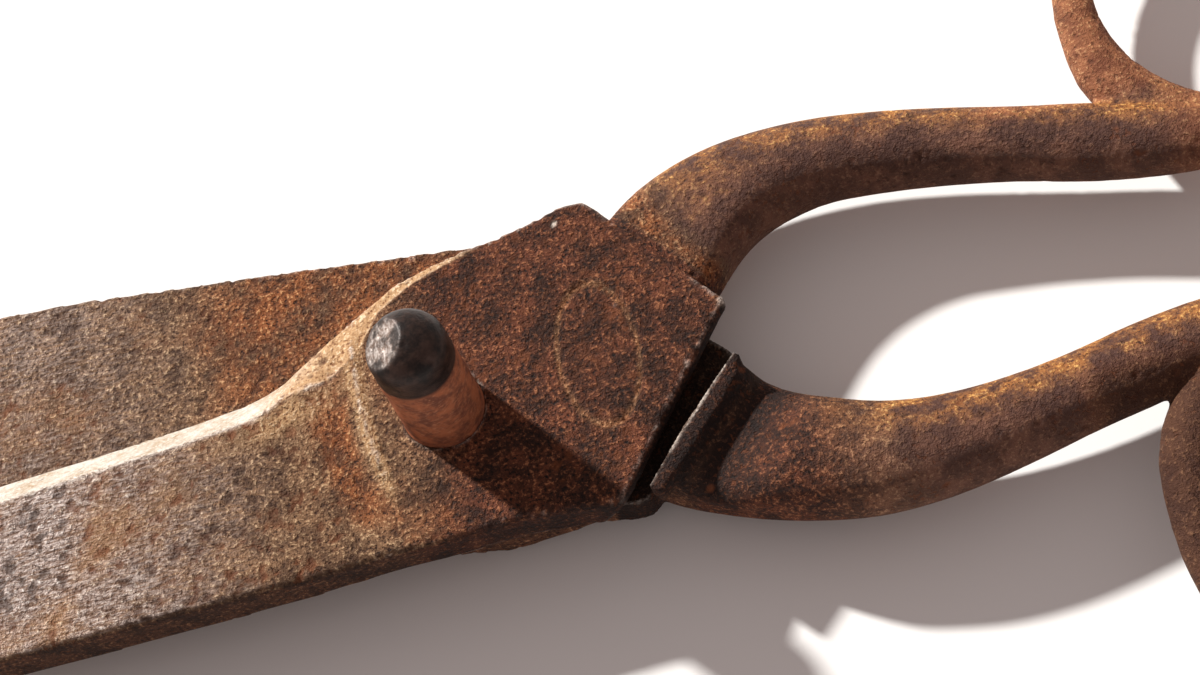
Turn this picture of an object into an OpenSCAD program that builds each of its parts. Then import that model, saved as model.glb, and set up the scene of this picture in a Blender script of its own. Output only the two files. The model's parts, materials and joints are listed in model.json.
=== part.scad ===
// Forged metal-cutting hand shears, blacksmith's pattern: two half-lapped forgings
// turning on one long pivot pin. Each forging is a blade, a lap plate with a stop edge,
// a bowed shank and a finger bow.
// Millimetres. The origin is on the pivot axis at the flat back of the rivet head, which
// is the lowest point when the tool lies down. +Z runs up along the standing pin end and
// +X from the pivot towards the bows. The jaws are drawn a little open.

/* [Lap joint] */
// Thickness of each lap plate
plate_t = 6.5; // [4.5:0.1:9]
// Gap between the two lap faces
lap_gap = 0.2; // [0.1:0.05:0.4]

/* [Pivot pin] */
// Diameter of the pin inside the plates
pin_d = 12; // [8:0.5:16]
// Length of pin standing proud of the front plate
pin_out = 24; // [8:1:40]
// Radial running clearance of the pin in the rear half
pin_fit = 0.06; // [0.02:0.01:0.1]
// Diameter of the rivet head behind the rear half
head_d = 21; // [16:0.5:26]
// Thickness of the rivet head
head_t = 4; // [2.5:0.5:7]

/* [Stop] */
// How far the foot of the front stop edge is dressed back under its lip
stop_draft = 2.6; // [0:0.1:3.5]

/* [Blades] */
// Distance from the pivot to the blade tips
blade_reach = 150; // [110:5:200]
// Extra thickness of the blade spine over the lap plate
spine_rise = 1.2; // [0:0.1:2.5]
// Thickness left at the cutting edge as a part of the plate
edge_land = 0.12; // [0.08:0.01:0.25]

/* [Shanks] */
// Distance from the pivot to the roots of the bows
root_reach = 100; // [85:1:130]
// Thickness factor of both shanks
shank_f = 1; // [0.8:0.01:1.25]

/* [Finger bows] */
// Length of the front bow opening
bow_f_len = 44.6; // [34:0.2:60]
// Width of the front bow opening
bow_f_wid = 44; // [34:0.2:60]
// Length of the rear bow opening
bow_r_len = 57.4; // [44:0.2:75]
// Width of the rear bow opening
bow_r_wid = 55; // [44:0.2:70]
// Thickness of the bow stock
bow_d = 5.8; // [4.5:0.1:8]

/* [Hidden] */
$fn = 96;
z0 = lap_gap / 2;
pin_r = pin_d / 2;
head_gap = 0.25;
lift = plate_t + head_gap + head_t;
kb = (blade_reach - 30) / 120;
kh = (root_reach - 42) / 58;
shift = root_reach - 100;

// Blade and lap plate, one row for each station along the half:
// x, spine y, spine rise, bevel y, bevel rise, edge y, edge thickness as a part of the plate
front_flat = [
  [-150, -7, -2.8, -3.2, -3, 0, 0],
  [-146.5, -10.2, -2.5, -3.3, -2.8, 0.3, 0],
  [-140, -13.2, -1.9, -3, -2.3, 1, 0],
  [-130, -16.2, -1, -2.3, -1.7, 2, 0],
  [-116, -19, -0.1, -1.2, -1, 3.4, 0],
  [-98, -21, 0.5, 0.2, -0.4, 5.3, 0],
  [-80, -21.7, 0.9, 1.5, 0, 7, 0],
  [-66, -21.8, 1, 2.5, 0.2, 8.2, 0],
  [-52, -21.5, 1, 3.6, 0.3, 9, 0],
  [-38, -21.2, 0.8, 4.3, 0.3, 10.1, 0],
  [-30, -20.9, 0.6, 5, 0.2, 11, 0.02],
  [-26.5, -20.8, 0.4, 5.9, 0.2, 11.6, 0.08],
  [-23, -20.6, 0.2, 8, 0.1, 12, 0.33],
  [-19, -20.3, 0.1, 9, 0.1, 13.6, 0.58],
  [-14, -20, 0, 11, 0, 16.1, 0.74],
  [-9, -19.8, 0, 15.4, 0, 18.8, 0.82],
  [-4.3, -19.8, 0, 19.6, 0, 21.4, 0.84],
  [1.4, -19.5, 0, 21.7, 0, 23, 0.84],
  [7.3, -19.3, 0, 23.1, 0, 24.3, 0.84],
  [11.7, -19.5, 0, 23.7, 0, 24.9, 0.84],
  [16.4, -19.8, 0, 24.6, 0, 25.8, 0.84],
  [21.2, -20.6, 0, 25.9, 0, 27.1, 0.84],
  [22.6, -19.9, 0, 26.2, 0, 27.4, 0.84],
  [25.2, -16.5, 0, 26, 0, 27.1, 0.84],
  [26.4, -14.9, 0, 24.8, 0, 25.8, 0.84],
  [41, 4.7, 0, 6.4, 0, 7.3, 0.84],
  [41.9, 5.6, 0, 6, 0, 6.5, 0.84]
];
rear_flat = [
  [-150, -27, -2.8, -23.3, -3, -20, 0],
  [-146.5, -30, -2.5, -23, -2.8, -19.4, 0],
  [-140, -33, -1.9, -22.2, -2.3, -18.2, 0],
  [-130, -35.6, -1, -20.8, -1.7, -16.6, 0],
  [-116, -37.6, -0.1, -18.8, -1, -14.3, 0],
  [-98, -38.4, 0.5, -16.3, -0.4, -11.4, 0],
  [-80, -37.9, 0.9, -13.9, 0, -8.6, 0],
  [-66, -36.7, 1, -11.9, 0.2, -6.4, 0],
  [-52, -35.7, 1, -9.6, 0.3, -4.2, 0],
  [-38, -33.9, 0.8, -7, 0.3, -1.9, 0],
  [-30, -33, 0.6, -4.8, 0.2, -0.6, 0.02],
  [-26, -32.5, 0.4, -2.9, 0.2, 0.8, 0.08],
  [-22, -32, 0.2, 0.4, 0.1, 3.8, 0.33],
  [-18, -31.5, 0.1, 3.6, 0.1, 7.2, 0.58],
  [-13, -30.8, 0, 8.4, 0, 11.6, 0.74],
  [-8, -30.1, 0, 13, 0, 15, 0.82],
  [-3, -29.5, 0, 15.9, 0, 17.1, 0.84],
  [4.5, -28.5, 0, 17, 0, 18.2, 0.84],
  [12, -27.2, 0, 16.7, 0, 17.8, 0.84],
  [17, -25.2, 0, 16.2, 0, 17.2, 0.84],
  [21.4, -21.8, 0, 16.9, 0, 18, 0.84],
  [23.6, -19.8, 0, 17.4, 0, 18.4, 0.84],
  [25.4, -17.7, 0, 17, 0, 18, 0.84],
  [26.8, -16.2, 0, 15.6, 0, 16.6, 0.84],
  [40.2, -1.9, 0, 1.4, 0, 2.2, 0.84],
  [41.2, -0.7, 0, 0.6, 0, 1, 0.84]
];

// Shank, one row for each point on its centre line:
// x, y, half width, half thickness, squareness of the section
front_shank = [
  [26.5, 8.6, 9.6, 5.6, 4], [31.5, 14.8, 9.7, 5.8, 4], [36.6, 20, 9.4, 6, 3.4],
  [41.8, 23.6, 8.6, 6.3, 2.8], [47.6, 26, 7.7, 6.4, 2.4], [54, 27.2, 7, 6.3, 2.1],
  [61, 27.4, 6.4, 6.1, 2], [70, 26.2, 6, 5.9, 2], [78.8, 24.4, 5.7, 5.6, 2],
  [88, 22.1, 5.5, 5.4, 2], [98, 19.4, 5.8, 5.2, 2], [108, 17, 5.4, 4.8, 2],
  [117, 15.5, 4.6, 4.2, 2], [126, 14.9, 3.8, 3.5, 2], [133, 15.1, 2.6, 2.6, 2]
];
rear_shank = [
  [27.5, 4.1, 10.2, 6.5, 8], [32.9, 8.9, 10.2, 6.5, 8], [38.3, 12.7, 9.8, 6.7, 4.6],
  [44.1, 16, 9.1, 7, 3.2], [50.4, 18.6, 8.5, 7.1, 2.5], [57, 20.3, 8.1, 7, 2.1],
  [64, 20.9, 7.4, 6.7, 2], [71, 20.6, 6.7, 6.3, 2], [78.5, 19.6, 6.1, 5.9, 2],
  [87, 18, 5.7, 5.5, 2], [97, 16, 5.8, 5.3, 2], [107, 14.4, 5.4, 5, 2],
  [117, 13.5, 4.5, 4.4, 2], [127, 13.5, 3.7, 3.7, 2], [134, 14, 2.6, 2.8, 2]
];

// Shoulder wall that meets the other half's lap plate, from the crotch outwards
front_wall = [[41.8, 9], [27.5, 27]];
rear_wall = [[41.6, 2.3], [32.1, 11.9], [26.2, 19]];

// Swelling of the bow stock with the angle round the opening, largest at the root
bow_swell = [
  [0, 0], [90, -0.05], [170, 0], [190, 0.5], [206, 1.5], [222, 1.7], [245, 0.9], [270, 0.4],
  [300, 0.2], [360, 0]
];

// Smooth value at t between the rows of a table
function smooth(rows, t) =
  let (n = len(rows), i = min(n - 2, floor(t)), u = t - i)
  let (p1 = rows[i], p2 = rows[i + 1])
  let (p0 = i > 0 ? rows[i - 1] : 2 * p1 - p2, p3 = i < n - 2 ? rows[i + 2] : 2 * p2 - p1)
  0.5 * (2 * p1 + (p2 - p0) * u + (2 * p0 - 5 * p1 + 4 * p2 - p3) * u * u
  + (3 * p1 - p0 - 3 * p2 + p3) * u * u * u);

function signed_pow(v, e) = sign(v) * pow(abs(v), e);

// Section of a bar: centre, heading angle, half width, half thickness, squareness
function bar_ring(c, h, a, b, q, m) = [
  for (k = [0 : m - 1])
    let (t = 360 * (k + 0.5) / m, w = a * signed_pow(cos(t), 2 / q))
    [c[0] - w * sin(h), c[1] + w * cos(h), b * signed_pow(sin(t), 2 / q)]
];

// Closed shell through equal rings; the two ends are capped or joined to each other
module skin(rings, loop = false) {
  n = len(rings);
  m = len(rings[0]);
  last = loop ? n - 1 : n - 2;
  sides = [
    for (i = [0 : last], j = [0 : m - 1], s = [0, 1])
      let (a = i * m + j, b = i * m + (j + 1) % m)
      let (c = ((i + 1) % n) * m + j, d = ((i + 1) % n) * m + (j + 1) % m)
      s == 0 ? [a, b, d] : [a, d, c]
  ];
  caps = loop ? [] : [
    [for (j = [m - 1 : -1 : 0]) j],
    [for (j = [0 : m - 1]) (n - 1) * m + j]
  ];
  polyhedron(points = [for (r = rings, p = r) p], faces = concat(sides, caps), convexity = 6);
}

// Blade and lap plate of one forging, flat on its inner side
module flat_part(rows) {
  rings = [
    for (r = rows)
      let (x = r[0] < -30 ? -30 + (r[0] + 30) * kb : r[0])
      let (zs = plate_t + r[2] * (r[2] > 0 ? spine_rise : 1), zb = plate_t + r[4])
      let (ze = plate_t * (edge_land + r[6]), ch = min(0.8, (r[5] - r[1]) / 4))
      [[x, r[1], zs - ch], [x, r[1] + ch, zs], [x, r[3], zb], [x, r[5], ze],
       [x, r[5], z0], [x, r[1], z0]]
  ];
  skin(rings);
}

// Shank swept along its centre line
module shank(rows) {
  steps = 3;
  count = (len(rows) - 1) * steps;
  pts = [
    for (i = [0 : count])
      let (r = smooth(rows, i / steps), w = max(0, min(1, (66 - r[0]) / 24)))
      let (kt = w * plate_t / 6.5 + (1 - w) * shank_f)
      [r[0] < 42 ? r[0] : 42 + (r[0] - 42) * kh, r[1], r[2] * shank_f, r[3] * kt, r[4]]
  ];
  rings = [
    for (i = [0 : count])
      let (a = pts[max(0, i - 1)], b = pts[min(count, i + 1)])
      bar_ring(pts[i], atan2(b[1] - a[1], b[0] - a[0]), pts[i][2], pts[i][3], pts[i][4], 20)
  ];
  skin([for (i = [count : -1 : 0]) rings[i]]);
}

// Finger bow: a loop of tapered stock round an oval opening
module bow(centre, len_x, wid_y) {
  n = 48;
  r0 = bow_d / 2;
  rings = [
    for (i = [0 : n - 1])
      let (t = 360 * i / n, r = r0 + lookup(t, bow_swell))
      let (ax = len_x / 2 + r, ay = wid_y / 2 + r)
      bar_ring(
        [centre[0] + ax * cos(t), centre[1] + ay * sin(t)],
        atan2(ay * cos(t), -ax * sin(t)), r, r0 + lookup(t, bow_swell) * 0.45, 2, 16
      )
  ];
  skin([for (i = [n - 1 : -1 : 0]) rings[i]], loop = true);
}

// Point a distance beyond q on the line from p
function beyond(p, q, distance) = q + (q - p) / norm(q - p) * distance;

// Room for the other forging's lap plate, inboard of the shoulder wall
module lap_room(wall) {
  n = len(wall);
  a = beyond(wall[1], wall[0], 16);
  b = beyond(wall[n - 2], wall[n - 1], 16);
  translate([0, 0, -20])
    linear_extrude(20 + z0)
      polygon(concat([a], wall, [b, [-60, b[1]], [-60, -70], [a[0], -70]]));
}

// Wedge taken off under the lip of the front stop edge, which runs from a to b
module stop_wedge(a, b) {
  reach = norm(b - a);
  lip = plate_t * 0.64;
  translate([a[0], a[1], 0])
    rotate([90, 0, 90 + atan2(b[1] - a[1], b[0] - a[0])])
      translate([0, 0, -10])
        linear_extrude(reach + 20)
          polygon([[-9, -1], [stop_draft * (1 + 1 / lip), -1], [0, lip], [-9, lip]]);
}

// Flat land along the top of a shoulder wall, with its width at each point of the wall
module crest(wall, widths) {
  n = len(wall) - 1;
  u = (wall[n] - wall[0]) / norm(wall[n] - wall[0]);
  out = [u[1], -u[0]];
  side = [for (i = [n : -1 : 0]) wall[i] + out * widths[i]];
  translate([0, 0, -plate_t])
    linear_extrude(plate_t * 0.6)
      polygon(concat([for (p = wall) p - out * 0.5], side));
}

module front_half() {
  color([0.34, 0.22, 0.15])
    translate([0, 0, lift])
      difference() {
        union() {
          flat_part(front_flat);
          difference() {
            shank(front_shank);
            lap_room(front_wall);
          }
          bow([127 + shift, 19 + bow_f_wid / 2], bow_f_len, bow_f_wid);
        }
        stop_wedge([22.6, -19.4], [41.3, 5]);
        translate([0, 0, -10])
          cylinder(r = pin_r, h = 40);
      }
}

module rear_half() {
  color([0.3, 0.19, 0.13])
    translate([0, 0, lift])
      rotate([180, 0, 0])
        difference() {
          union() {
            flat_part(rear_flat);
            difference() {
              union() {
                shank(rear_shank);
                crest(rear_wall, [1.2, 3.2, 2]);
              }
              lap_room(rear_wall);
            }
            bow([127.5 + shift, 17 + bow_r_wid / 2], bow_r_len, bow_r_wid);
          }
          translate([0, 0, -10])
            cylinder(r = pin_r + pin_fit, h = 40);
        }
}

module pivot_pin() {
  tip_r = pin_r * 0.94;
  base = lift + plate_t + 0.4;
  top = lift + plate_t + pin_out;
  nose = 4.2;
  head = head_d / 2;
  color([0.38, 0.24, 0.17])
    rotate_extrude()
      polygon(concat(
        [[0, 0], [head * 0.62, 0], [head * 0.86, head_t * 0.28], [head, head_t * 0.7],
         [head, head_t], [pin_r, head_t], [pin_r, base], [tip_r, base], [tip_r, top - nose]],
        [for (k = [1 : 7]) [tip_r * cos(k * 11.5), top - nose + nose * sin(k * 11.5)]],
        [[tip_r * 0.12, top], [0, top]]
      ));
}

front_half();
rear_half();
pivot_pin();
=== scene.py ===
"""Looks of a pair of old forged metal-cutting hand shears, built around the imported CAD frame.

Each forging and the pin get a fine, even skin made from the CAD node itself, so the shapes
stay where the CAD says. The skin is worn round at the arrises, sculpted with the forging and
wear marks, and pitted. Marks kept on its points then steer a procedural material: old_iron for
the two forgings and pin_iron for the pin.
Lengths are millimetres in the tool's own frame until a mesh is written back.
"""
import json
import math

import bmesh
import bpy
import numpy as np
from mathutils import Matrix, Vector, kdtree, noise


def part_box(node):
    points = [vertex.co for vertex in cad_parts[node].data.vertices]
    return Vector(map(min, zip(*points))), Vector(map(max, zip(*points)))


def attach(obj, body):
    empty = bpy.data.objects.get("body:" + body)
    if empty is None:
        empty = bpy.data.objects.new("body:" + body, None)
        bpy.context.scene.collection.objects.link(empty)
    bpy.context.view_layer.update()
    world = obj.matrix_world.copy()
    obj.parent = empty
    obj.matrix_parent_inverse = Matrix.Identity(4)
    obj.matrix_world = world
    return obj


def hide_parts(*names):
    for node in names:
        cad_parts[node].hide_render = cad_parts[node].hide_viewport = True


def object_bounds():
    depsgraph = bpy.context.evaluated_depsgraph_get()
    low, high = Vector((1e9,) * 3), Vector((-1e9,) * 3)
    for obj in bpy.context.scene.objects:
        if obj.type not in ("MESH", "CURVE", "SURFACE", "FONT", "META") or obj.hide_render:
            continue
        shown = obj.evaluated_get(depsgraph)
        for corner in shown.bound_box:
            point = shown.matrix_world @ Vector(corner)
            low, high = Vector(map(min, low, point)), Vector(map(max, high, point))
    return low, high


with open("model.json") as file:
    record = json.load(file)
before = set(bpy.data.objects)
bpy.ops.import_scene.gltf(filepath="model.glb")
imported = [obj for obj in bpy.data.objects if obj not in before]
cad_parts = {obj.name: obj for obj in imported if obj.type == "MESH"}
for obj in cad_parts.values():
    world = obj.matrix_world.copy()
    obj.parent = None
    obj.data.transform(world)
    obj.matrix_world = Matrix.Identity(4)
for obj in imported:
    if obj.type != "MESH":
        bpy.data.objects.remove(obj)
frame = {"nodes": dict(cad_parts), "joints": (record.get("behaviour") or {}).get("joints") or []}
cad_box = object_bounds()

MM = 0.001
# Height of the lap faces, thickness of a lap plate, and height of the pin's standing end
LAP_Z = frame["joints"][0]["pos_m"][2] / MM
PLATE = 6.5
PIN_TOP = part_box("pivot_pin")[1].z / MM

FORGING_MESH = 0.5
PIN_MESH = 0.32
# Depth at which a pit is shown as fully rusted, and depth of the shaders' finest relief
FORGING_PIT, PIN_PIT = 0.26, 0.3
FORGING_RELIEF, PIN_RELIEF = 0.55, 0.22

# Plan lines, each from its first end to its second
FRONT_WALL = ((41.8, 9.0), (27.5, 27.0))  # shoulder of the front half, from the crotch outwards
REAR_WALL = ((41.6, -2.3), (26.2, -19.0))  # shoulder of the rear half, from the crotch outwards
STOP_EDGE = ((22.6, -19.4), (41.3, 5.0))  # stop edge of the front plate
ROOT_LINE = ((-9.1, -11.2), (-11.2, 12.5))  # across the root of the front blade

# Plan x and y of the foot of the ground bevel, where the flat of the front blade ends
BEVEL_FOOT = ((-150, -3.2), (-98, 0.2), (-66, 2.5), (-38, 4.4), (-27, 5.8), (-23, 7.6),
              (-15.5, 9.2), (-11, 12.0), (-7, 17.6), (-2, 20.6), (4, 22.6), (12, 24.2))
# Punched oval on the front plate: plan centre and half sizes
OVAL_PLACE, OVAL_HALF = (23.0, 2.6), (5.7, 11.2)
# Plan place of a small bright chip near the outer end of the front shoulder
CHIP = (20.4, 24.6)
# Drop of the rear shank behind its crest
SCOOP = 3.1
# The rubbed flat on the end of the pin: the way it faces, and how deep it cuts
FLAT_FACES, FLAT_DEPTH = (-0.55, 0.05, 0.83), 1.2

# Camera: place, and turns in degrees
CAMERA_PLACE, CAMERA_TURN = (53.0, -149.9, 316.3), (25.75, 10.76, -10.45)
# Sun: where it stands in plan, and its elevation and width in degrees
SUN_SIDE, SUN_ELEVATION, SUN_WIDTH = (-0.5, 0.6), 33, 3


# ---------------------------------------------------------------- camera, light and floor
def link(obj):
    bpy.context.scene.collection.objects.link(obj)
    return obj


def add_camera():
    data = bpy.data.cameras.new("camera")
    data.sensor_width = 36
    data.lens = 72
    data.clip_start = 0.01
    camera = link(bpy.data.objects.new("camera", data))
    camera.location = Vector(CAMERA_PLACE) * MM
    camera.rotation_euler = [math.radians(a) for a in CAMERA_TURN]
    bpy.context.scene.camera = camera


def add_light():
    sun = bpy.data.lights.new("key", "SUN")
    sun.energy = 6.1
    sun.color = (1.0, 0.97, 0.92)
    sun.angle = math.radians(SUN_WIDTH)
    key = link(bpy.data.objects.new("key", sun))
    elevation = math.radians(SUN_ELEVATION)
    across = Vector((*SUN_SIDE, 0)).normalized() * math.cos(elevation)
    towards = across + Vector((0, 0, math.sin(elevation)))
    key.rotation_euler = towards.to_track_quat("Z", "Y").to_euler()
    world = bpy.data.worlds.new("studio")
    world.use_nodes = True
    background = world.node_tree.nodes["Background"]
    background.inputs["Color"].default_value = (1.0, 0.84, 0.8, 1)
    background.inputs["Strength"].default_value = 0.4
    bpy.context.scene.world = world
    bpy.context.scene.view_settings.view_transform = "Standard"


def add_floor(size=2.0):
    mesh = bpy.data.meshes.new("floor")
    corners = [(-size, -size, 0), (size, -size, 0), (size, size, 0), (-size, size, 0)]
    mesh.from_pydata(corners, [], [(0, 1, 2, 3)])
    floor = link(bpy.data.objects.new("floor", mesh))
    material = bpy.data.materials.new("floor_paint")
    material.use_nodes = True
    shader = material.node_tree.nodes["Principled BSDF"]
    shader.inputs["Base Color"].default_value = (0.86, 0.86, 0.86, 1)
    shader.inputs["Roughness"].default_value = 0.7
    mesh.materials.append(material)


# ---------------------------------------------------------------- the fine skin
def ease(low, high, value):
    """0 below low, 1 above high, smooth between."""
    t = np.clip((value - low) / (high - low), 0, 1)
    return t * t * (3 - 2 * t)


def drop(low, high, value):
    """1 below low, 0 above high, smooth between."""
    return 1 - ease(low, high, value)


def hump(centre, width, value):
    """1 at the centre, falling off over the width on both sides."""
    return np.exp(-(((value - centre) / width) ** 2))


def powder_on_lit_side(normal):
    """Ochre rust powder on a round bar, from the way the surface faces: the side towards the key
    light, so partly painted light.
    """
    return ease(0.1, 0.75, 0.85 * normal[:, 1] + 0.3 * normal[:, 2] - 0.25 * normal[:, 0])


def from_line(ends, x, y):
    """Distance left of a plan line, looking along it, and the share of its length passed."""
    (ax, ay), (bx, by) = ends
    length = math.hypot(bx - ax, by - ay)
    ux, uy = (bx - ax) / length, (by - ay) / length
    return (x - ax) * -uy + (y - ay) * ux, ((x - ax) * ux + (y - ay) * uy) / length


class Skin:
    """An even mesh over one CAD node, with its points as arrays in millimetres."""

    def __init__(self, node, spacing, name):
        self.object = link(bpy.data.objects.new(name, frame["nodes"][node].data.copy()))
        self.node = node
        self.object.data.materials.clear()
        weld = bmesh.new()
        weld.from_mesh(self.object.data)
        bmesh.ops.remove_doubles(weld, verts=weld.verts, dist=1e-6)
        weld.to_mesh(self.object.data)
        weld.free()
        remesh = self.object.modifiers.new("even", "REMESH")
        remesh.mode = "VOXEL"
        remesh.voxel_size = spacing * MM
        depsgraph = bpy.context.evaluated_depsgraph_get()
        self.mesh = bpy.data.meshes.new_from_object(self.object.evaluated_get(depsgraph))
        self.object.modifiers.clear()
        self.object.data = self.mesh
        self.mesh.name = name
        self.read()

    def read(self):
        """Takes the points and edges from the mesh."""
        mesh = self.mesh
        self.count = len(mesh.vertices)
        points = np.empty(self.count * 3, np.float32)
        mesh.vertices.foreach_get("co", points)
        self.points = points.reshape(-1, 3).astype(float) / MM
        edges = np.empty(len(mesh.edges) * 2, np.int32)
        mesh.edges.foreach_get("vertices", edges)
        self.a, self.b = edges.reshape(-1, 2).T
        self.degree = np.bincount(self.a, minlength=self.count)
        self.degree = np.maximum(self.degree + np.bincount(self.b, minlength=self.count), 1)

    def write(self):
        """Puts the points back into the mesh."""
        self.mesh.vertices.foreach_set("co", (self.points * MM).astype(np.float32).ravel())
        self.mesh.update()

    def normals(self):
        self.write()
        found = np.empty(self.count * 3, np.float32)
        self.mesh.vertex_normals.foreach_get("vector", found)
        return found.reshape(-1, 3).astype(float)

    def average(self, values):
        """Mean over each point's neighbours."""
        a, b, n = self.a, self.b, self.count
        columns = values.reshape(n, -1).T
        total = [np.bincount(a, c[b], n) + np.bincount(b, c[a], n) for c in columns]
        return (np.array(total).T / self.degree[:, None]).reshape(values.shape)

    def relax(self, rounds, weight=1.0):
        """Smooths without shrinking; weight is one number or one for each point."""
        weight = np.broadcast_to(weight, (self.count,))[:, None]
        for _ in range(rounds):
            for step in (0.55, -0.57):
                self.points += step * weight * (self.average(self.points) - self.points)

    def blur(self, values, rounds):
        """Spreads values over the neighbours of each point."""
        for _ in range(rounds):
            values = 0.5 * values + 0.5 * self.average(values)
        return values

    def roughen(self, size, seed, octaves=1):
        """Noise from -1 to 1 with bumps about size across."""
        shift = Vector((seed * 17.3, seed * 5.1, seed * 9.7))
        total = np.zeros(self.count)
        for k in range(octaves):
            scale = 2**k / size
            layer = [noise.noise(Vector(p) * scale + shift) for p in self.points]
            total += np.array(layer) * 0.55**k
        return total

    def push(self, height):
        """Moves each point along its normal."""
        self.points += self.normals() * height[:, None]

    def pits(self, seed, number, size, depth, density):
        """Uneven rust pits at random points where density allows. Returns their depth."""
        rng = np.random.default_rng(seed)
        allowed = np.flatnonzero(rng.random(self.count) < density)
        hollow = np.zeros(self.count)
        if len(allowed) == 0:
            return hollow
        tree = kdtree.KDTree(self.count)
        for i, p in enumerate(self.points):
            tree.insert(p, i)
        tree.balance()
        for i in rng.choice(allowed, min(number, len(allowed)), replace=False):
            radius = size[0] + (size[1] - size[0]) * rng.random() ** 2.2
            long_way = rng.normal(size=3)
            long_way /= np.linalg.norm(long_way)
            found = tree.find_range(self.points[i], radius)
            near = np.array([f[1] for f in found])
            away = self.points[near] - self.points[i]
            far = (away**2).sum(1) + 1.6 * ((away @ long_way) ** 2)
            bowl = depth * radius * np.maximum(1 - far / radius**2, 0)
            hollow[near] = np.maximum(hollow[near], bowl)
        self.push(-hollow)
        return hollow

    def above_lap(self):
        """x and y of the points, and their height above the lap faces."""
        x, y, z = self.points.T
        return x, y, z - LAP_Z

    def convexity(self, rounds):
        """How far each point stands out of its smoothed surroundings, in millimetres."""
        smooth = self.blur(self.points, rounds)
        return ((self.points - smooth) * self.normals()).sum(1)

    def store(self, **marks):
        """Keeps marks from 0 to 1 on the points, for the material."""
        for name, values in marks.items():
            layer = self.mesh.attributes.new(name, "FLOAT", "POINT")
            layer.data.foreach_set("value", np.clip(values, 0, 1).astype(np.float32))

    def finish(self, material, body, slot):
        """Keeps the skin inside the CAD box and puts it in place of its node."""
        low, high = (np.array(corner) / MM for corner in cad_box)
        self.points = np.clip(self.points, low, high)
        self.write()
        self.mesh.polygons.foreach_set("use_smooth", [True] * len(self.mesh.polygons))
        self.mesh.materials.append(material)
        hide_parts(self.node)
        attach(self.object, body)


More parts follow.
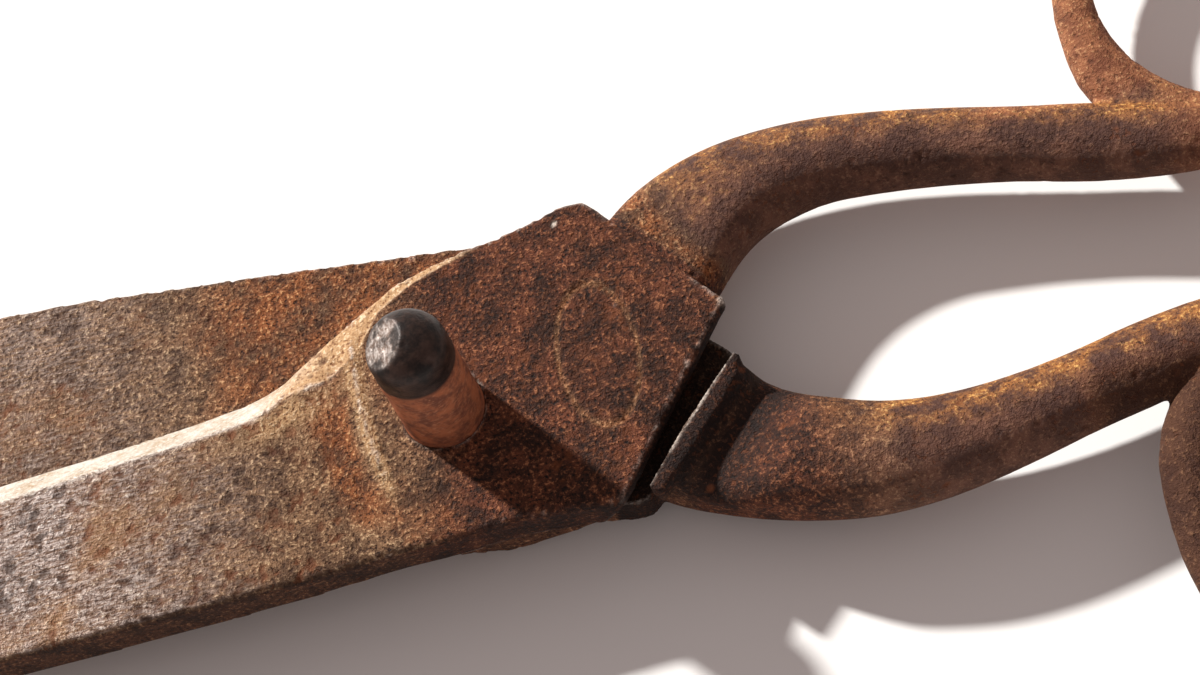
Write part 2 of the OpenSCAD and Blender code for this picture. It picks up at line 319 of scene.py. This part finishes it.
# ---------------------------------------------------------------- sculpting and marks
def make_front(spacing):
    skin = Skin("front_half", spacing, "front_forging")
    x, y, z = skin.above_lap()
    wall, _ = from_line(FRONT_WALL, x, y)
    bar = ease(1, 5, -wall) * ease(30, 40, x)
    skin.relax(4)
    skin.relax(60, bar)
    x, y, z = skin.above_lap()
    normal = skin.normals()
    top = ease(0.55, 0.8, normal[:, 2]) * ease(PLATE - 2.0, PLATE - 0.8, z)
    wall, _ = from_line(FRONT_WALL, x, y)
    plate = ease(-0.5, 0.5, wall) * drop(40, 44, x)
    plate[x < 24] = 1

    # forging marks across the root of the blade: a low ridge, a hollow and two fainter grooves
    across, along = from_line(ROOT_LINE, x, y)
    across = -across + 1.2 * np.sin(along * 2.6)
    fade = ease(-0.2, 0.35, along) * drop(1.0, 1.15, along)
    ridge = hump(0, 0.75, across) * fade * top
    beside = hump(0, 1.5, across) * fade * top
    hollow = hump(-4.4, 2.9, across) * ease(-0.35, 0.1, along) * drop(0.9, 1.1, along)
    hollow = hollow * top
    groove = (0.5 * hump(-12.2, 1.7, across) + 0.35 * hump(-16.5, 1.6, across)) * top
    skin.points[:, 2] += 0.5 * ridge - 0.42 * hollow - 0.3 * groove

    # plain oval punch mark beside the pin
    ring = np.hypot((x - OVAL_PLACE[0]) / OVAL_HALF[0], (y - OVAL_PLACE[1]) / OVAL_HALF[1])
    oval = hump(1, 0.055, ring) * top * plate
    inside = drop(0.85, 1.0, ring) * top * plate

    # the ground bevel, left smooth, and how much roughness and pitting each place takes
    foot = np.interp(x, *np.array(BEVEL_FOOT).T)
    bevel = ease(-0.35, 0.45, y - foot) * drop(2, 11, x) * ease(0.7, 1.4, z)
    bevel *= ease(0.05, 0.25, normal[:, 2])
    smooth = 1 - 0.92 * bevel * (1 - 0.3 * ease(-30, -20, x))
    flats = 1 - bar
    side = drop(0.25, 0.55, np.abs(normal[:, 2])) * flats
    calm = smooth * (1 - 0.75 * side)
    crusty = np.clip(hollow + 0.5 * ease(-12, -2, x) * plate + 0.4 * inside, 0, 1)
    calm *= 1 - 0.9 * ease(0.08, 0.2, skin.convexity(4))
    skin.push(0.06 * skin.roughen(13, 2) * flats + 0.02 * skin.roughen(2.6, 1, 2) * calm)
    skin.push(0.13 * skin.roughen(1.5, 3, 2) * calm * (0.6 * inside + hollow))
    skin.push(0.1 * hump(1.12, 0.06, ring) * top * plate - 0.4 * oval)

    density = (0.015 + 0.4 * crusty * top + 0.03 * top + 0.012 * bar) * calm
    pitted = skin.pits(11, 1900, (0.5, 1.0), 0.24, density)
    scattered = 0.4 * top * smooth * drop(-24, -12, x)
    pitted += skin.pits(12, 420, (0.65, 1.25), 0.32, scattered)
    pitted += skin.pits(13, 1700, (0.5, 0.75), 0.2, (0.1 * bar + 0.4 * flats) * calm)

    # marks for the material
    stands = skin.convexity(6)
    x, y, z = skin.above_lap()
    # the lower edge of the front blade: darkened as painted shade, and kept free of bright arris
    lower_edge = hump(0, 1.6, z - PLATE) * ease(0.1, 0.22, stands) * (y < 0)
    lower_edge = lower_edge * drop(-22, -8, x)
    chip = np.exp(-((x - CHIP[0]) ** 2 + (y - CHIP[1]) ** 2) / 0.3)
    steel = top * drop(-62, -20, x)
    pale = bevel * (1.1 - 0.45 * ease(-34, -12, x)) + chip
    below = hump(foot - 2.5, 3.2, y) * hump(-22, 9, x) * top
    tan = 0.3 * oval + 1.4 * ridge + 0.5 * beside + 0.75 * below
    tan = tan + 0.8 * bevel * ease(-34, -12, x)
    # dark: forge scale on the boss, painted shade on the side walls and the lower edge
    dark = np.clip(plate * ease(-10, 3, x) * drop(40, 44, x) + 0.75 * side + lower_edge, 0, 1)
    dark = dark * (1 - bevel) * (1 - 0.75 * oval)
    rust = hollow + oval + ease(-0.5, 0.5, -wall) * (x > 24) * (1 - bar)
    rust = rust + 0.5 * ease(-13, -8, x) * drop(2, 10, x) * top
    arris = ease(0.1, 0.24, stands) * (1 - 0.6 * bar) * (1 - 0.85 * lower_edge)
    arris = arris * (1 - hump(1.08, 0.2, ring)) * (0.35 + 0.65 * (x > -14))
    # painted shade: blackened along the stop edge, where the gap between the halves lies in
    # shadow, and on the plate sides facing -y
    gap, share = from_line(STOP_EDGE, x, y)
    normal = skin.normals()
    soot = hump(0, 2.6, gap) * (share < 1.1) * (share > -0.3)
    soot = soot * drop(0.3, 0.75, normal[:, 2])
    soot += 0.5 * ease(0.5, 0.9, -normal[:, 1]) * flats
    ring_start = bar * ease(80, 86, x) * ease(22, 26, y)
    bow = np.maximum(bar * ease(104, 116, x), ring_start)
    # painted light: tan on the shanks' sides facing -y, standing in for bounce light, and on the
    # start of the front bow where it faces the key light
    tan = np.maximum(tan, 0.6 * bar * (1 - bow) * ease(0.3, 0.9, -normal[:, 1]))
    tan = np.maximum(tan, 0.7 * ring_start * ease(0.5, 0.95, -normal[:, 0]))
    # shine: a painted highlight line along the top arris of the bevel, kept in the arris mark
    shine = hump(foot + 0.1, 0.5, y) * top * drop(-18, -12, x)
    # the ochre powder mark on the shanks sits on the sides facing the key light: partly painted
    # light
    skin.store(steel=steel, pale=pale, dark=dark, rust=rust + 0.5 * bow, arris=arris + shine,
               tan=tan, soot=soot, dust=bar * powder_on_lit_side(normal), pitted=pitted / FORGING_PIT,
               bar=bar, bow=bow)
    return skin


def make_rear(spacing):
    skin = Skin("rear_half", spacing, "rear_forging")
    x, y, z = skin.above_lap()
    wall, _ = from_line(REAR_WALL, x, y)
    bar = ease(2.5, 6, wall) * ease(24, 30, x)
    skin.relax(4)
    skin.relax(60, bar)
    x, y, z = skin.above_lap()
    wall, share = from_line(REAR_WALL, x, y)

    # the shank falls away behind the crest of the shoulder and rises again
    behind = ease(1.6, 5.0, wall) * drop(6.5, 16, wall) * ease(22, 27, x)
    skin.points[:, 2] -= SCOOP * behind * ease(-1, 5.5, z)
    skin.relax(14, bar)
    normal = skin.normals()
    crest = ease(-0.6, 0.3, wall) * drop(2.6, 4.2, wall) * ease(4, 5.6, z) * ease(22, 26, x)

    # roughness and pits, heaviest on the lap face near the pin
    flats = 1 - bar
    side = drop(0.25, 0.55, np.abs(normal[:, 2])) * flats
    calm = 1 - 0.75 * side
    calm *= 1 - 0.9 * ease(0.08, 0.2, skin.convexity(4))
    skin.push(0.06 * skin.roughen(12, 4) * flats + 0.02 * skin.roughen(2.6, 5, 2) * calm)
    inner = ease(0.6, 0.85, normal[:, 2]) * drop(0.5, 1.2, np.abs(z)) * (x < 20)
    heavy = inner * ease(-45, -18, x)
    skin.push(0.13 * skin.roughen(1.5, 6, 2) * (0.3 * inner + heavy))
    density = (0.015 + 0.5 * inner + 0.4 * heavy + 0.015 * bar) * calm
    pitted = skin.pits(21, 3000, (0.5, 1.0), 0.26, density)
    pitted += skin.pits(22, 1700, (0.5, 0.75), 0.2, (0.1 * bar + 0.4 * flats) * calm)

    # marks for the material
    stands = skin.convexity(6)
    x, y, z = skin.above_lap()
    steel = 0.4 * inner * drop(-66, -30, x)
    bow = bar * np.maximum(ease(104, 116, x), ease(84, 90, x) * ease(16, 20, -y))
    # dark: the crest land, and painted shade on the shank root behind the crest and on the side
    # walls
    dark = crest + bar * drop(46, 66, x) + 0.75 * side
    rust = 0.8 * heavy + 0.15 * inner + 0.3 * bow
    edge = hump(-0.05, 0.2, wall) * ease(4.6, 5.6, z) * ease(22, 26, x) * (share < 1.02)
    arris = ease(0.1, 0.24, stands) * (1 - 0.6 * bar) * (1 - crest)
    normal = skin.normals()
    # painted light: tan on the shank's side facing -y, standing in for bounce light
    tan = 0.55 * bar * ease(0.3, 0.9, -normal[:, 1]) * (1 - bow) * ease(50, 70, x)
    # painted shade: blackened on the crest land, and as painted shadow in the scoop behind the
    # crest, in the gap before it and over the rear bow
    soot = np.clip(0.8 * crest + behind * ease(-3, 3, z), 0, 1)
    gap = ease(-9, -6, wall) * drop(-0.5, 0.1, wall) * drop(5, 6, z) * (x > 20)
    soot = np.maximum(soot, np.maximum(gap, 0.85 * bow))
    # the ochre powder mark on the shank sits on the side facing the key light: partly painted
    # light
    skin.store(steel=steel, pale=np.zeros(skin.count), dark=dark, rust=rust,
               arris=0.6 * arris + 1.1 * edge, tan=tan, soot=soot,
               dust=bar * powder_on_lit_side(normal) * (1 - soot), pitted=pitted / FORGING_PIT,
               bar=bar, bow=bow)
    return skin


def make_pin(spacing):
    skin = Skin("pivot_pin", spacing, "pivot_pin_worn")
    skin.relax(10)
    z = skin.points[:, 2]
    plate_top = LAP_Z + PLATE
    share = np.clip((z - plate_top) / (PIN_TOP - plate_top), 0, 1)  # of the standing length
    swell = 1 + 0.05 * (1 - share) * ease(plate_top + 0.2, plate_top + 1.2, z)
    skin.points[:, :2] *= swell[:, None]

    # a rubbed flat on the end of the pin, on the side of the blades
    flat = np.array(FLAT_FACES)
    reach = (skin.points[share > 0.9] @ flat).max()
    over = np.maximum(skin.points @ flat - reach + FLAT_DEPTH, 0)
    skin.points -= over[:, None] * flat
    skin.relax(8)
    rings = 0.03 * np.sin(skin.points[:, 2] * 5.2) * (share > 0.02) * (share < 0.6)
    skin.push(0.06 * skin.roughen(3.4, 7, 2) + rings)
    pitted = skin.pits(31, 200, (0.4, 0.9), 0.16, np.full(skin.count, 0.5))
    tip = ease(0.58, 0.74, share)
    # the flat turned towards the key light is coloured pale: worn metal with a painted highlight
    worn_and_lit_flat = skin.blur(ease(0.0, 0.45, over) * tip, 5)
    skin.store(steel=worn_and_lit_flat, pitted=pitted / PIN_PIT, tip=tip)
    return skin


# ---------------------------------------------------------------- the materials
def srgb(*levels):
    """Linear colour from display levels of 0 to 255."""
    parts = [v / 255 for v in levels]
    linear = [p / 12.92 if p <= 0.04045 else ((p + 0.055) / 1.055) ** 2.4 for p in parts]
    return (*linear, 1.0)


class Nodes:
    """Short calls that add shader nodes. A value is a number, a colour or a socket."""

    def __init__(self, material):
        material.use_nodes = True
        self.material = material
        self.tree = material.node_tree
        self.shader = self.tree.nodes["Principled BSDF"]
        place = self.tree.nodes.new("ShaderNodeTexCoord")
        self.place = place.outputs["Object"]

    def put(self, socket, value):
        """Links an output to a socket, or sets the socket to a constant."""
        if isinstance(value, bpy.types.NodeSocket):
            self.tree.links.new(value, socket)
        else:
            socket.default_value = value

    def mark(self, name):
        """A mark kept on the skin's points."""
        node = self.tree.nodes.new("ShaderNodeAttribute")
        node.attribute_name = name
        return node.outputs["Fac"]

    def scaled(self, scale, shift=(0, 0, 0)):
        """The place on the object in millimetres times a scale along each axis."""
        node = self.tree.nodes.new("ShaderNodeMapping")
        self.put(node.inputs["Vector"], self.place)
        node.inputs["Scale"].default_value = [s / MM for s in scale]
        node.inputs["Location"].default_value = shift
        return node.outputs["Vector"]

    def noise(self, size, detail, roughness, stretch=(1, 1, 1), seed=0.0):
        """Noise of about 0.3 to 0.7 with features about size across, in millimetres."""
        node = self.tree.nodes.new("ShaderNodeTexNoise")
        where = self.scaled([s / size for s in stretch], (seed, seed * 2, seed * 3))
        self.put(node.inputs["Vector"], where)
        node.inputs["Scale"].default_value = 1.0
        node.inputs["Detail"].default_value = detail
        node.inputs["Roughness"].default_value = roughness
        return node.outputs["Fac"]

    def calc(self, operation, a, b=0.0, c=0.0, clamp=False):
        node = self.tree.nodes.new("ShaderNodeMath")
        node.operation = operation
        node.use_clamp = clamp
        for socket, value in zip(node.inputs, (a, b, c)):
            self.put(socket, value)
        return node.outputs[0]

    def times(self, a, b):
        return self.calc("MULTIPLY", a, b)

    def times_add(self, a, b, c, clamp=False):
        return self.calc("MULTIPLY_ADD", a, b, c, clamp)

    def outside(self, value):
        """1 where the value is 0, and 0 where it is 1 or more."""
        return self.calc("SUBTRACT", 1, value, clamp=True)

    def span(self, value, low, high, to_low=0.0, to_high=1.0):
        """Takes low to high smoothly to to_low and to_high."""
        node = self.tree.nodes.new("ShaderNodeMapRange")
        node.interpolation_type = "SMOOTHSTEP"
        for socket, given in zip(node.inputs, (value, low, high, to_low, to_high)):
            self.put(socket, given)
        return node.outputs[0]

    def mix(self, factor, a, b):
        """Colour a where the factor is 0 and b where it is 1."""
        node = self.tree.nodes.new("ShaderNodeMix")
        node.data_type = "RGBA"
        for name, value in (("Factor_Float", factor), ("A_Color", a), ("B_Color", b)):
            socket = next(s for s in node.inputs if s.identifier == name)
            self.put(socket, value)
        return next(s for s in node.outputs if s.identifier == "Result_Color")

    def finish(self, colour, roughness, metallic, height, depth):
        """Links the shader and its relief, depth millimetres deep, and returns the material."""
        self.put(self.shader.inputs["Base Color"], colour)
        self.put(self.shader.inputs["Roughness"], roughness)
        self.put(self.shader.inputs["Metallic"], metallic)
        self.shader.inputs["Specular IOR Level"].default_value = 0.2
        bump = self.tree.nodes.new("ShaderNodeBump")
        bump.inputs["Distance"].default_value = depth * MM
        self.put(bump.inputs["Height"], height)
        self.put(self.shader.inputs["Normal"], bump.outputs["Normal"])
        return self.material


def old_iron(name, warm=0.0):
    """Rusted forged iron. warm pushes the rust towards orange."""
    g = Nodes(bpy.data.materials.new(name))
    steel, pale, dark, bow = g.mark("steel"), g.mark("pale"), g.mark("dark"), g.mark("bow")
    rust, arris, pitted, bar = g.mark("rust"), g.mark("arris"), g.mark("pitted"), g.mark("bar")
    dust, soot, tan = g.mark("dust"), g.mark("soot"), g.mark("tan")
    patches = g.noise(16, 4, 0.6, seed=3)
    blotch = g.noise(4.5, 5, 0.68, seed=7)
    grain = g.noise(0.62, 3, 0.74, seed=11)
    fine = g.noise(0.32, 2, 0.6, seed=5)
    spots = g.noise(0.95, 2, 0.5, seed=9)
    streak = g.noise(0.4, 3, 0.7, stretch=(0.2, 1, 1), seed=2)

    def blotched(first, second, low=0.36, high=0.64):
        return g.mix(g.span(blotch, low, high), first, second)

    def grained(base, bright, deep):
        return g.mix(shade, g.mix(light, base, bright), deep)

    calm = g.outside(g.times(pale, 0.7))
    pit = g.times(g.span(spots, 0.61, 0.66), calm)
    # light: bright grain flecks, partly painted glints; shade: darker grain flecks
    light = g.times(g.span(grain, 0.54, 0.64), g.span(blotch, 0.36, 0.6, 0.35, 1.0))
    shade = g.span(grain, 0.46, 0.36)

    # brown oxide, with orange rust where it is thick
    brown = blotched(srgb(94, 68, 50), srgb(140, 106, 78))
    brown = grained(brown, srgb(208, 174, 136), srgb(60, 36, 25))
    orange = blotched(srgb(118, 66, 38), srgb(150, 90, 52), 0.4, 0.62)
    orange = grained(orange, srgb(222, 166, 116), srgb(50, 25, 15))
    reach = g.times_add(rust, 0.62, g.times_add(patches, 0.8, warm - 0.34))
    rusty = g.times(g.span(reach, 0.16, 0.6), g.span(blotch, 0.28, 0.58))
    colour = g.mix(rusty, brown, orange)

    # dark forge scale on the boss; the same dark mark also darkens the rear crest land, and is
    # painted shade on side walls, the front blade's lower edge and the rear shank behind the
    # crest
    scale = blotched(srgb(48, 26, 20), srgb(106, 57, 38), high=0.66)
    scale = grained(scale, srgb(168, 108, 74), srgb(24, 14, 12))
    colour = g.mix(g.times(dark, 0.95), colour, scale)

    # ground steel, drawn lengthwise, with white specks that are painted glints
    ground = g.mix(g.span(streak, 0.36, 0.64), srgb(126, 106, 98), srgb(204, 192, 188))
    ground = g.mix(g.span(grain, 0.58, 0.68), ground, srgb(244, 242, 240))
    ground = g.mix(g.times(shade, 0.7), ground, srgb(84, 60, 48))
    ochre = g.mix(light, srgb(160, 116, 74), srgb(208, 172, 128))
    tint = g.mix(g.span(patches, 0.44, 0.7, 0.1, 0.75), ground, ochre)
    bare = g.times(steel, g.span(streak, 0.3, 0.6, 0.5, 1.0))
    colour = g.mix(bare, colour, tint)

    # bevel rubbed nearly white, tan towards the pin
    band = blotched(srgb(208, 204, 196), srgb(178, 160, 138), 0.34, 0.66)
    band = g.mix(g.times(light, 0.6), band, srgb(236, 232, 226))
    band = g.mix(g.times(shade, 0.4), band, srgb(150, 112, 78))
    colour = g.mix(g.span(pale, 0.15, 0.85), colour, band)

    # tan on the ridge and on the bevel near the pin; on the shanks' sides facing -y and on the
    # front bow's side towards the key light it is painted light
    worn = grained(srgb(184, 146, 106), srgb(236, 210, 176), srgb(118, 76, 46))
    colour = g.mix(g.span(tan, 0.05, 0.85), colour, worn)

    # handles: dark brown, ochre rust powder on the side facing the key light, partly painted
    # light, redder at the bows
    handle = blotched(srgb(78, 52, 45), srgb(112, 76, 62), 0.4, 0.66)
    handle = g.mix(g.times(light, 0.5), handle, srgb(150, 110, 88))
    powder = grained(srgb(160, 104, 54), srgb(230, 178, 102), srgb(72, 42, 27))
    held = g.times(dust, g.span(blotch, 0.36, 0.6))
    handle = g.mix(held, handle, powder)
    bow_colour = blotched(srgb(118, 68, 44), srgb(156, 100, 68))
    bow_colour = g.mix(light, bow_colour, srgb(196, 146, 106))
    handle = g.mix(g.times(bow, 0.8), handle, bow_colour)
    upper = g.times(bar, g.outside(dark))
    colour = g.mix(g.times(upper, 0.95), colour, handle)

    # painted shade in the corners and on sides turned from the light, rust in the pits, bright
    # metal on the rubbed arrises with a painted highlight along the bevel's arris
    # the blackish colour of the painted shade
    black = g.mix(light, srgb(28, 18, 16), srgb(70, 44, 34))
    colour = g.mix(g.times(soot, 0.9), colour, black)
    inside = g.calc("MAXIMUM", g.span(pitted, 0.1, 0.8), g.times(pit, 0.6))
    deep = g.mix(g.span(patches, 0.42, 0.6), srgb(54, 32, 24), srgb(120, 68, 40))
    colour = g.mix(g.times(inside, 0.65), colour, deep)
    bright = g.mix(g.span(grain, 0.36, 0.6), srgb(140, 122, 110), srgb(222, 214, 206))
    # bright metal on the worn arrises, with a painted highlight line along the bevel's top arris
    rubbed_and_highlit = g.times(arris, g.span(blotch, 0.36, 0.56))
    colour = g.mix(g.times(rubbed_and_highlit, 0.85), colour, bright)

    # gloss and the finest relief
    metal = g.times_add(bare, 0.4, g.times(rubbed_and_highlit, 0.5), clamp=True)
    metal = g.times(metal, g.outside(inside))
    rough = g.times_add(metal, -0.35, 0.72)
    rough = g.times_add(g.calc("SUBTRACT", grain, 0.5), 0.3, rough, clamp=True)
    height = g.times_add(grain, 1.9, g.times(fine, 0.3))
    height = g.times_add(pit, -0.55, height)
    height = g.times(height, g.span(pale, 0.2, 0.8, 1, 0.3))
    height = g.times(height, g.times_add(bar, -0.5, 1))
    height = g.times_add(g.times(streak, bare), 0.25, height)
    return g.finish(colour, rough, metal, height, FORGING_RELIEF)


def pin_iron(name):
    """The pin: dark worn end with a pale flat towards the key light, partly a painted highlight;
    red-brown body turned round.
    """
    g = Nodes(bpy.data.materials.new(name))
    steel, pitted, tip = g.mark("steel"), g.mark("pitted"), g.mark("tip")
    blotch = g.noise(2.6, 5, 0.65, seed=17)
    grain = g.noise(0.7, 4, 0.65, stretch=(1, 1, 2.2), seed=13)
    body = g.mix(g.span(blotch, 0.36, 0.64), srgb(112, 66, 50), srgb(166, 98, 66))
    body = g.mix(g.span(grain, 0.5, 0.72), body, srgb(176, 118, 86))
    end = g.mix(g.span(blotch, 0.36, 0.66), srgb(30, 25, 24), srgb(66, 50, 44))
    colour = g.mix(g.span(g.times_add(blotch, 0.5, tip), 0.55, 1.0), body, end)
    # pale grey on the flat: worn metal and a painted highlight
    flat = g.mix(g.span(grain, 0.36, 0.66), srgb(112, 94, 84), srgb(190, 180, 174))
    worn_and_lit_flat = g.times(steel, g.span(blotch, 0.4, 0.6, 0.1, 0.9))
    colour = g.mix(worn_and_lit_flat, colour, flat)
    inside = g.span(pitted, 0.1, 0.8)
    colour = g.mix(g.times(inside, 0.6), colour, srgb(48, 28, 22))
    metal = g.times(tip, 0.3)
    rough = g.times_add(tip, -0.3, 0.7)
    height = g.times_add(blotch, 0.8, g.times(grain, 0.7))
    height = g.times(height, g.times_add(tip, -0.5, 1))
    return g.finish(colour, rough, metal, height, PIN_RELIEF)


add_camera()
add_light()
add_floor()
make_front(FORGING_MESH).finish(old_iron("front_iron"), "front", "front_forging")
make_rear(FORGING_MESH).finish(old_iron("rear_iron", 0.04), "rear", "rear_forging")
make_pin(PIN_MESH).finish(pin_iron("pin_iron"), "front", "pin_steel")
